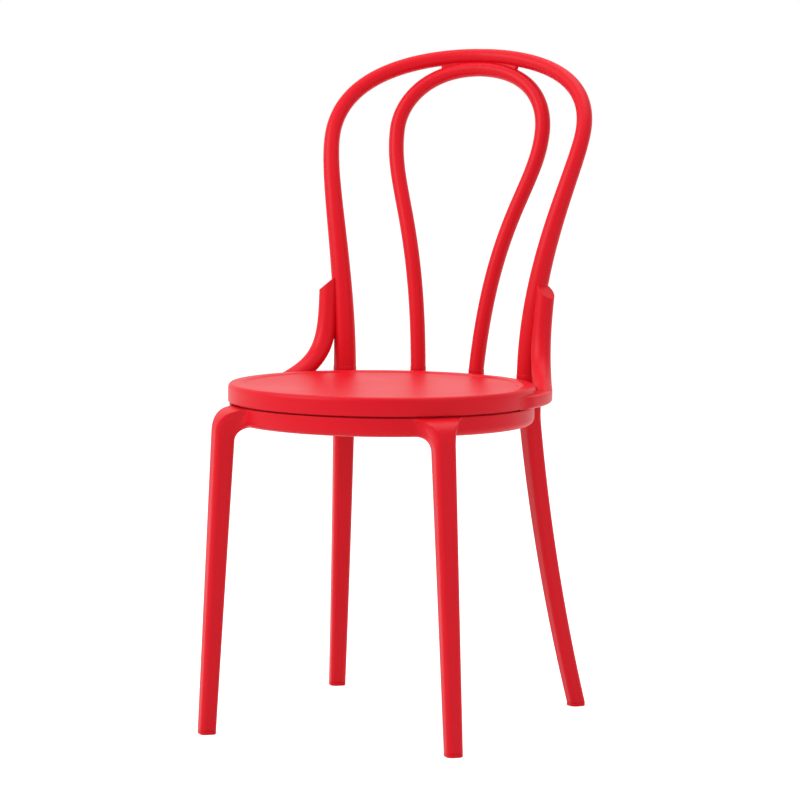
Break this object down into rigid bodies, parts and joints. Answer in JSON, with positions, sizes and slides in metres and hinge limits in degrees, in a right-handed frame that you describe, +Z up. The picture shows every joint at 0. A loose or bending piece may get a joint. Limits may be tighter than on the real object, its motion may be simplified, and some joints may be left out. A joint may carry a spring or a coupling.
{
  "type": "chair",
  "caption": "Red moulded plastic chair with a round dished seat, an outer and an inner hoop back, curved side braces, an apron ring and splayed legs",
  "frame": {"origin": "on the floor, below the middle of the chair's outline", "axes": "+Z up, -Y towards the front of the chair, +X to the right of someone who faces the chair's front"},
  "size_m": [0.421, 0.5437, 0.893],
  "materials": {
    "red_plastic": "satin moulded, fine grain",
    "glide_plastic": "satin moulded",
    "steel": "zinc plated"
  },
  "bodies": {
    "root": {"seat": "red_plastic", "back_rail": "red_plastic", "outer_hoop": "red_plastic", "inner_hoop": "red_plastic", "brace_left": "red_plastic", "brace_right": "red_plastic", "leg_frame": "red_plastic", "glide_front_left": "glide_plastic", "glide_front_right": "glide_plastic", "glide_rear_left": "glide_plastic", "glide_rear_right": "glide_plastic", "frame_screws": "steel", "frame_washers": "steel", "rail_screws": "steel", "spigot_screws": "steel", "inner_hoop_screws": "steel", "brace_screws": "steel", "brace_pins": "steel", "crown_pins": "steel"}
  },
  "joints": []
}
